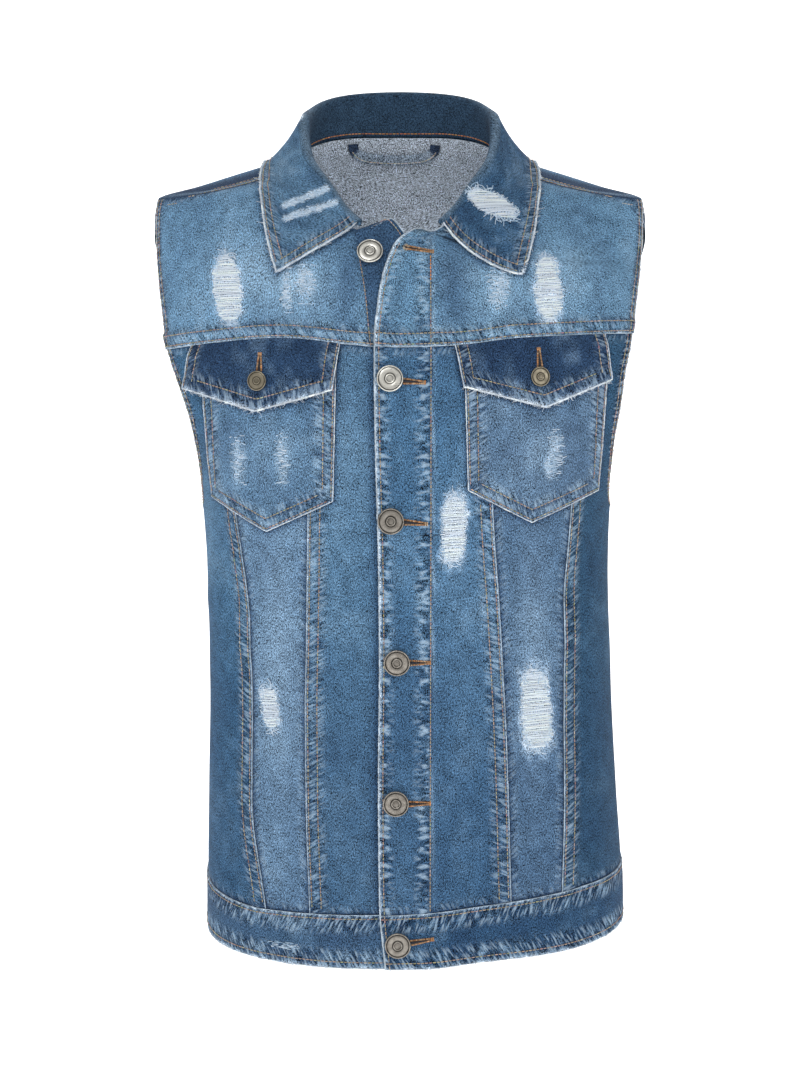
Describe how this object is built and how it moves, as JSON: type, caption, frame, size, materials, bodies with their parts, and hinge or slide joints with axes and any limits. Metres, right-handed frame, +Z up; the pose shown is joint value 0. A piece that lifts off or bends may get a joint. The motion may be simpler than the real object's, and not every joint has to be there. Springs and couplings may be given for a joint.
{
  "type": "denim vest",
  "caption": "Sleeveless denim vest in its worn, hollow form, buttoned, with a turned-down collar, front yokes, flapped breast pockets, panelled fronts and a hem band.",
  "frame": {"origin": "on the neck's vertical axis, level with the shoulders' highest point at the neck, where the wearer's shoulders carry the vest", "axes": "+Z up towards the collar, -Y out of the front, +X towards the wearer's left"},
  "size_m": [0.399, 0.254, 0.6998],
  "materials": {
    "denim": "washed indigo twill",
    "denim_light": "faded indigo twill",
    "denim_dark": "dark indigo twill",
    "silver_metal": "satin silver tack button",
    "bronze_metal": "aged bronze tack button"
  },
  "bodies": {
    "root": {"front_yoke_r": "denim_light", "front_centre_r": "denim", "front_middle_r": "denim_light", "front_side_r": "denim", "pocket_r": "denim_light", "flap_r": "denim_dark", "front_yoke_l": "denim_light", "front_centre_l": "denim", "front_middle_l": "denim_light", "front_side_l": "denim", "pocket_l": "denim_light", "flap_l": "denim_dark", "back_yoke": "denim_light", "back_side_l": "denim", "back_centre": "denim", "back_side_r": "denim", "hem_band_r": "denim_dark", "hem_band_l": "denim_dark", "hem_band_back": "denim_dark", "collar": "denim_dark", "hanger_loop": "denim", "button_1": "silver_metal", "button_2": "silver_metal", "button_3": "bronze_metal", "button_4": "bronze_metal", "button_5": "bronze_metal", "button_6": "bronze_metal", "flap_button_r": "bronze_metal", "flap_button_l": "bronze_metal"}
  },
  "joints": []
}
